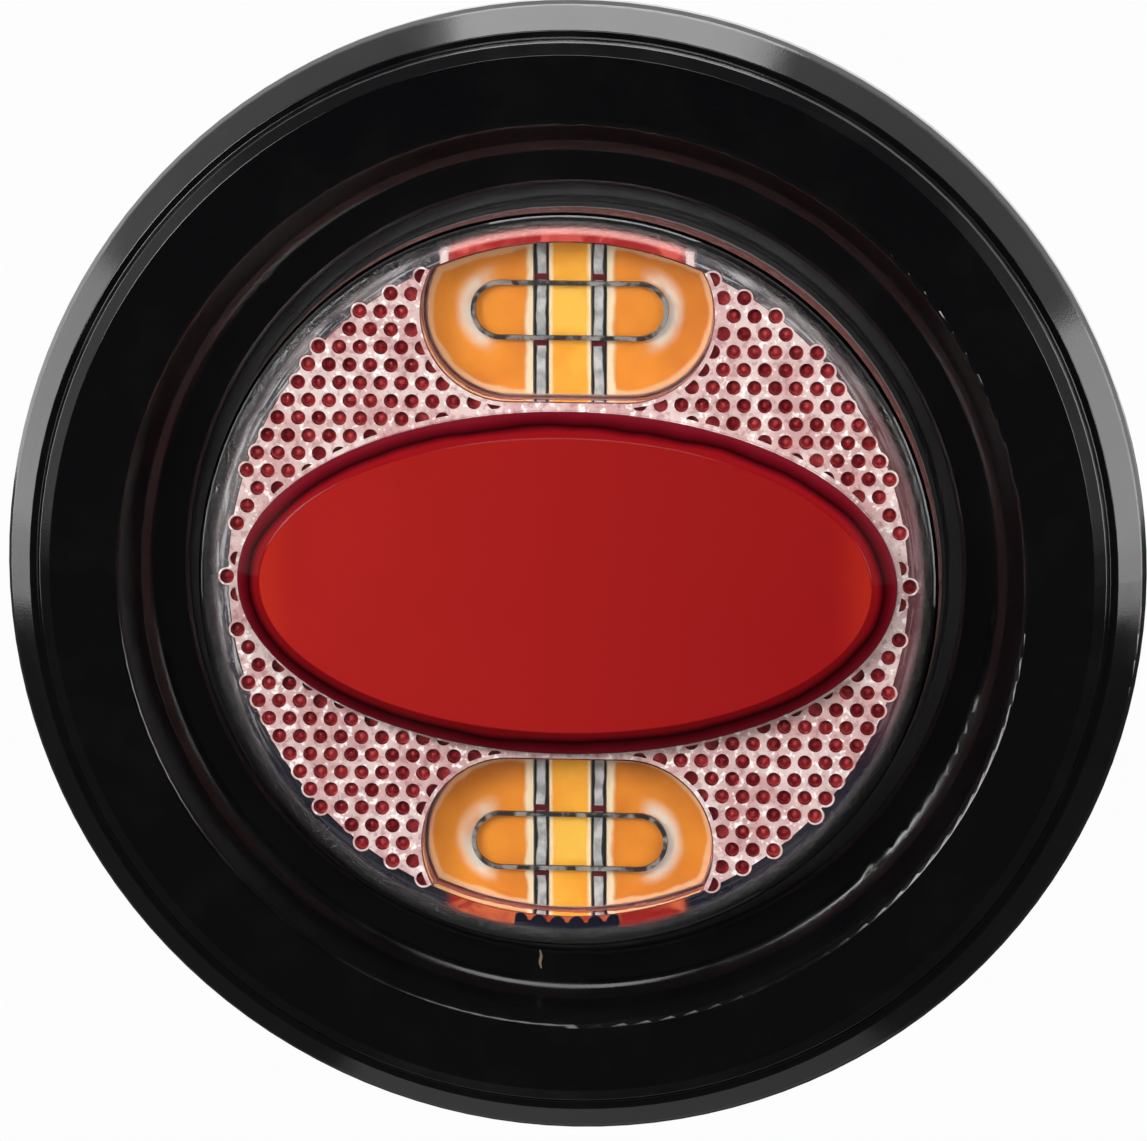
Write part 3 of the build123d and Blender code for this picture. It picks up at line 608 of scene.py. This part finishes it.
# The bars' edges are painted near black as shade.
tone = mix_colours(tree, ramp(tree, from_middle, 0.27, 0.38), tone, (0.012, 0.012, 0.014))
from_line = maths(tree, "SUBTRACT", maths(tree, "ABSOLUTE", edge["Up"]), RING_LINE_HEIGHT + 0.42)
at_line = ramp(tree, maths(tree, "ABSOLUTE", from_line), 0.28, 0.2)
tone = mix_colours(tree, at_line, tone, (0.13, 0.004, 0.008))
tree.links.new(tone, shader.inputs["Base Color"])
shader.inputs["Metallic"].default_value = 0.25
shader.inputs["Roughness"].default_value = 0.4
bump = add(tree, "Bump", {"Strength": 0.5, "Distance": 0.08 * MM, "Height": noise(tree, place, 1300.0, 3.0)})
tree.links.new(bump.outputs["Normal"], shader.inputs["Normal"])
wear(tinned, "upper_conductors", "lower_conductors")

ring_line, tree, shader = new_finish("light_ring_metal")
place = object_place(tree)
blotch = noise(tree, place, 1100.0, 3.0)
tone = mix_colours(tree, ramp(tree, blotch, 0.42, 0.62), (0.045, 0.044, 0.046), (0.42, 0.41, 0.40))
# Faces turned away from the front are painted near black as shade.
tone = mix_colours(tree, facing_front(tree, 0.3, 0.8), (0.006, 0.006, 0.007), tone)
tree.links.new(tone, shader.inputs["Base Color"])
shader.inputs["Metallic"].default_value = 0.4
shader.inputs["Roughness"].default_value = 0.3
bump = add(tree, "Bump", {"Strength": 0.6, "Distance": 0.06 * MM, "Height": blotch})
tree.links.new(bump.outputs["Normal"], shader.inputs["Normal"])
wear(ring_line, "upper_light_ring", "lower_light_ring")

sintered, tree, shader = new_finish("white_carrier")
pores = noise(tree, object_place(tree), 2600.0, 3.0)
tone = mix_colours(tree, pores, (0.80, 0.72, 0.60), (0.95, 0.88, 0.78))
tree.links.new(tone, shader.inputs["Base Color"])
shader.inputs["Roughness"].default_value = 0.5
wear(sintered, "upper_led_carrier", "lower_led_carrier")


# Circuit board and what is soldered to it. White solder mask, pale light packages with resin
# windows, moulded black parts, a drawn aluminium can and bright solder.

# Each finish: its name, two tones, roughness, metal, scale of its mottle, and what wears it.
BOARD_FINISHES = (
    ("board_mask", (0.72, 0.72, 0.69), (0.84, 0.84, 0.82), 0.35, 0.0, 900.0, ["circuit_board"]),
    ("led_package", (0.78, 0.78, 0.74), (0.88, 0.88, 0.85), 0.45, 0.0, 1800.0, ["red_leds"]),
    ("led_window", (0.60, 0.16, 0.03), (0.85, 0.32, 0.10), 0.10, 0.0, 1400.0, ["red_led_windows"]),
    ("black_component", (0.018, 0.018, 0.019), (0.036, 0.036, 0.036), 0.55, 0.0, 2600.0,
     ["resistors", "rectifier_diodes", "driver_chip"]),
    ("capacitor_can", (0.60, 0.60, 0.61), (0.80, 0.80, 0.81), 0.30, 1.0, 1200.0, ["capacitor"]),
    ("potting_resin", (0.020, 0.020, 0.023), (0.045, 0.045, 0.050), 0.12, 0.0, 220.0,
     ["potting_compound"]),
    ("solder", (0.58, 0.58, 0.58), (0.76, 0.76, 0.75), 0.25, 1.0, 1600.0, ["solder_joints"]),
)
for name, low, high, roughness, metallic, scale, wearers in BOARD_FINISHES:
    finish, tree, shader = new_finish(name)
    mottle = noise(tree, object_place(tree), scale, 4.0)
    tone = mix_colours(tree, ramp(tree, mottle, 0.35, 0.65), low, high)
    polish = ramp(tree, mottle, 0.3, 0.7, roughness * 0.8, roughness * 1.25)
    tree.links.new(tone, shader.inputs["Base Color"])
    tree.links.new(polish, shader.inputs["Roughness"])
    shader.inputs["Metallic"].default_value = metallic
    bump = add(tree, "Bump", {"Strength": 0.25, "Distance": 0.05 * MM, "Height": mottle})
    tree.links.new(bump.outputs["Normal"], shader.inputs["Normal"])
    wear(finish, *wearers)


# Contact pins. Turned brass with a thin nickel plate, rubbed through to the brass in streaks where
# a plug has slid along them.

NICKEL = (0.62, 0.58, 0.48)
BRASS = (0.66, 0.46, 0.18)

nickel_brass, tree, shader = new_finish("nickel_brass")
place = object_place(tree)
drawn_out = add(tree, "VectorMath", {0: place, 1: (1, 0.08, 1)}, operation="MULTIPLY").outputs[0]
streaks = noise(tree, drawn_out, 2600.0, 3.0)
tone = mix_colours(tree, ramp(tree, streaks, 0.52, 0.66), NICKEL, BRASS)
tree.links.new(tone, shader.inputs["Base Color"])
tree.links.new(ramp(tree, streaks, 0.3, 0.7, 0.16, 0.34), shader.inputs["Roughness"])
shader.inputs["Metallic"].default_value = 1.0
bump = add(tree, "Bump", {"Strength": 0.3, "Distance": 0.03 * MM, "Height": streaks})
tree.links.new(bump.outputs["Normal"], shader.inputs["Normal"])
wear(nickel_brass, "left_contact_pin", "right_contact_pin")


# Studio. Pale floor under the light, soft boxes that edge the rubber from the sides, the top and
# behind, and two soft front lights well off the lamp's axis, so that its flat faces stay deep.

FLOOR_HEIGHT = -0.3
FLOOR_SIDE = 6
BACKDROP_WHITE = 0.98
LENS_VIEW_WIDTH = 0.08567
SENSOR_WIDTH = 36
bpy.ops.mesh.primitive_plane_add(size=FLOOR_SIDE, location=(0, 0, FLOOR_HEIGHT))
floor = bpy.context.object
floor.name = "studio_floor"
pale, tree, shader = new_finish("pale_floor")
camera_ray = add(tree, "LightPath").outputs["Is Camera Ray"]
white = (BACKDROP_WHITE, BACKDROP_WHITE, BACKDROP_WHITE, 1)
seen = add(tree, "Emission", {"Color": white}).outputs[0]
shader.inputs["Base Color"].default_value = (0.02, 0.02, 0.02, 1)
shader.inputs["Roughness"].default_value = 0.9
mixed = add(tree, "MixShader", {0: camera_ray, 1: shader.outputs[0], 2: seen}).outputs[0]
tree.links.new(mixed, tree.nodes["Material Output"].inputs["Surface"])
floor.data.materials.append(pale)

studio = bpy.data.worlds.new("studio")
bpy.context.scene.world = studio
studio.use_nodes = True
tree = studio.node_tree
background = tree.nodes["Background"]
ways = add(tree, "SeparateXYZ", {0: add(tree, "TexCoord").outputs["Generated"]})
behind = ways.outputs["Y"]
sides = ramp(tree, behind, -0.65, -0.2, 0.0, 0.85)
in_front = ramp(tree, behind, 0.0, -0.2)
overhead = maths(tree, "MULTIPLY", ramp(tree, ways.outputs["Z"], 0.45, 0.7), in_front)
sides = maths(tree, "MULTIPLY", sides, ramp(tree, overhead, 0.0, 1.0, 1.0, 0.25))
back = ramp(tree, behind, 0.1, 0.5, 0.0, 0.6)
room = maths(tree, "ADD", sides, back)
camera_ray = add(tree, "LightPath").outputs["Is Camera Ray"]
unseen = maths(tree, "MULTIPLY", room, maths(tree, "SUBTRACT", 1.0, camera_ray))
seen = maths(tree, "MULTIPLY", camera_ray, BACKDROP_WHITE)
tree.links.new(maths(tree, "ADD", seen, unseen), background.inputs["Strength"])
background.inputs["Color"].default_value = (1, 1, 1, 1)


def soft_box(name, place, size, power):
    """A square soft light at a place, turned to the light's middle."""
    lamp = bpy.data.lights.new(name, "AREA")
    lamp.size = size
    lamp.energy = power
    box = bpy.data.objects.new(name, lamp)
    box.location = place
    box.rotation_euler = (-Vector(place)).to_track_quat("-Z", "Y").to_euler()
    box.visible_camera = False
    bpy.context.scene.collection.objects.link(box)


soft_box("front_left", (-0.42, -0.50, 0.22), 0.25, 2.2)
soft_box("front_right", (0.50, -0.48, 0.10), 0.25, 1.2)
soft_box("over_front", (-0.05, -0.62, 0.36), 0.25, 0.9)
soft_box("left_edge", (-0.53, 0.14, 0.05), 0.35, 0.85)
soft_box("right_edge", (0.55, 0.08, 0.05), 0.35, 1.5)
soft_box("top_edge", (0.0, 0.10, 0.55), 0.4, 3.0)
soft_box("bottom_edge", (0.0, 0.08, -0.27), 0.25, 0.06)

AZIMUTH = math.radians(5.5)
ELEVATION = math.radians(9.5)
CAMERA_DISTANCE = 0.62
AIM = Vector((0.0, -0.002, 0.0))
lens_data = bpy.data.cameras.new("camera")
lens_data.sensor_width = SENSOR_WIDTH
lens_data.lens = SENSOR_WIDTH * CAMERA_DISTANCE / LENS_VIEW_WIDTH
camera = bpy.data.objects.new("camera", lens_data)
away = Vector((
    math.sin(AZIMUTH) * math.cos(ELEVATION),
    -math.cos(AZIMUTH) * math.cos(ELEVATION),
    math.sin(ELEVATION),
))
camera.location = AIM + away * CAMERA_DISTANCE
camera.rotation_euler = (-away).to_track_quat("-Z", "Y").to_euler()
bpy.context.scene.collection.objects.link(camera)
bpy.context.scene.camera = camera
bpy.context.scene.view_settings.view_transform = "Standard"
